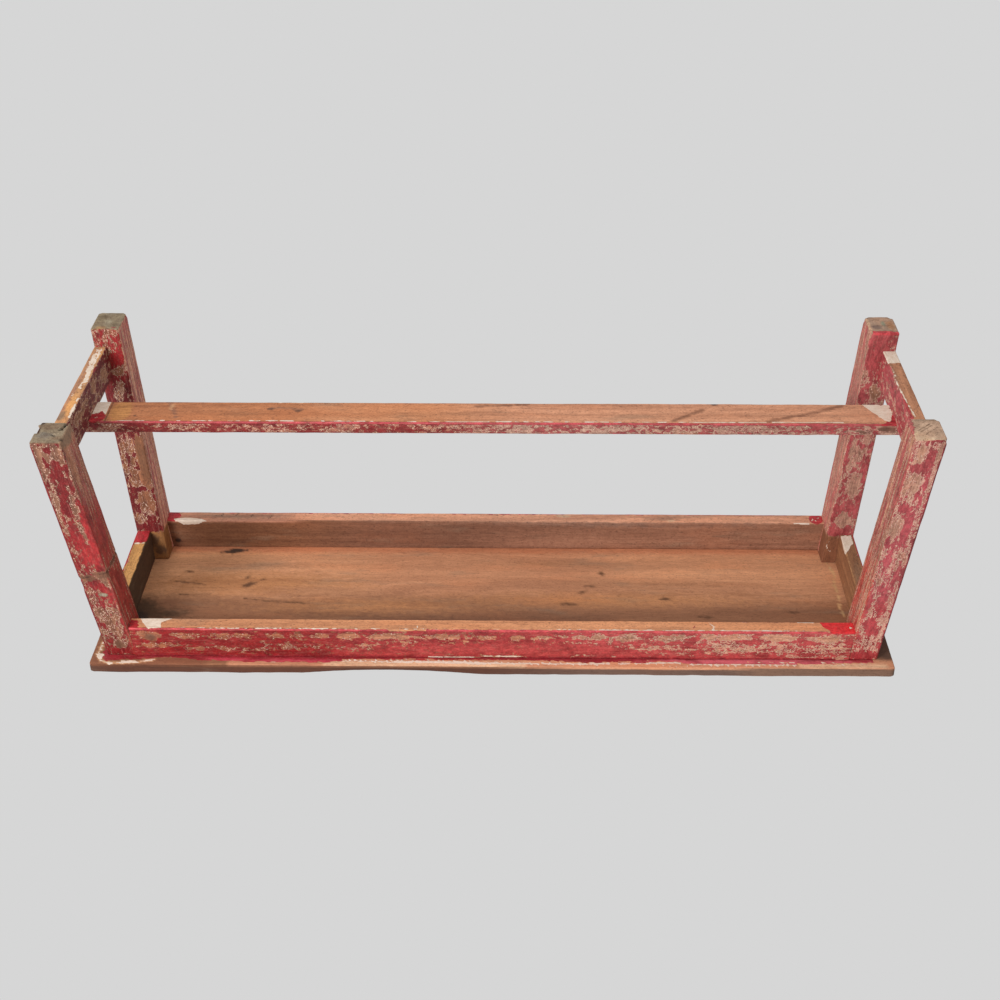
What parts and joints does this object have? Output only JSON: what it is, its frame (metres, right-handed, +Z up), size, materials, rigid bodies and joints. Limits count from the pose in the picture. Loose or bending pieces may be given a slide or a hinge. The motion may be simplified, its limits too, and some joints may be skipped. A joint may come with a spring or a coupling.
{
  "type": "wooden bench",
  "caption": "Low painted farmhouse bench: thin plank seat, splayed square legs, aprons all round, end rungs and a long stretcher housed in them.",
  "frame": {"origin": "middle of the bench at floor level, under the centre of the bounding box", "axes": "+X along the seat towards the bench's right end, +Y towards the back, +Z up from the feet to the seat; the wane on the seat's edge marks the front, which faces -Y"},
  "size_m": [1.248, 0.402, 0.42],
  "materials": {
    "painted_wood": "red paint worn through to brown wood, with pale primer at the worn edges",
    "seat_wood": "bare aged brown wood, with smears of red paint and pale primer along the joints underneath",
    "peg_wood": "end grain under the leg's own worn red paint",
    "nail_iron": "dark rusty iron"
  },
  "bodies": {
    "root": {"seat_board": "seat_wood", "front_apron": "painted_wood", "back_apron": "painted_wood", "left_apron": "painted_wood", "right_apron": "painted_wood", "front_left_leg": "painted_wood", "front_right_leg": "painted_wood", "back_left_leg": "painted_wood", "back_right_leg": "painted_wood", "left_rung": "painted_wood", "right_rung": "painted_wood", "stretcher": "painted_wood", "front_apron_pegs": "peg_wood", "back_apron_pegs": "peg_wood", "left_apron_pegs": "peg_wood", "right_apron_pegs": "peg_wood", "left_rung_pegs": "peg_wood", "right_rung_pegs": "peg_wood", "front_seat_nails": "nail_iron", "back_seat_nails": "nail_iron", "left_seat_nails": "nail_iron", "right_seat_nails": "nail_iron", "left_stretcher_nails": "nail_iron", "right_stretcher_nails": "nail_iron"}
  },
  "joints": []
}
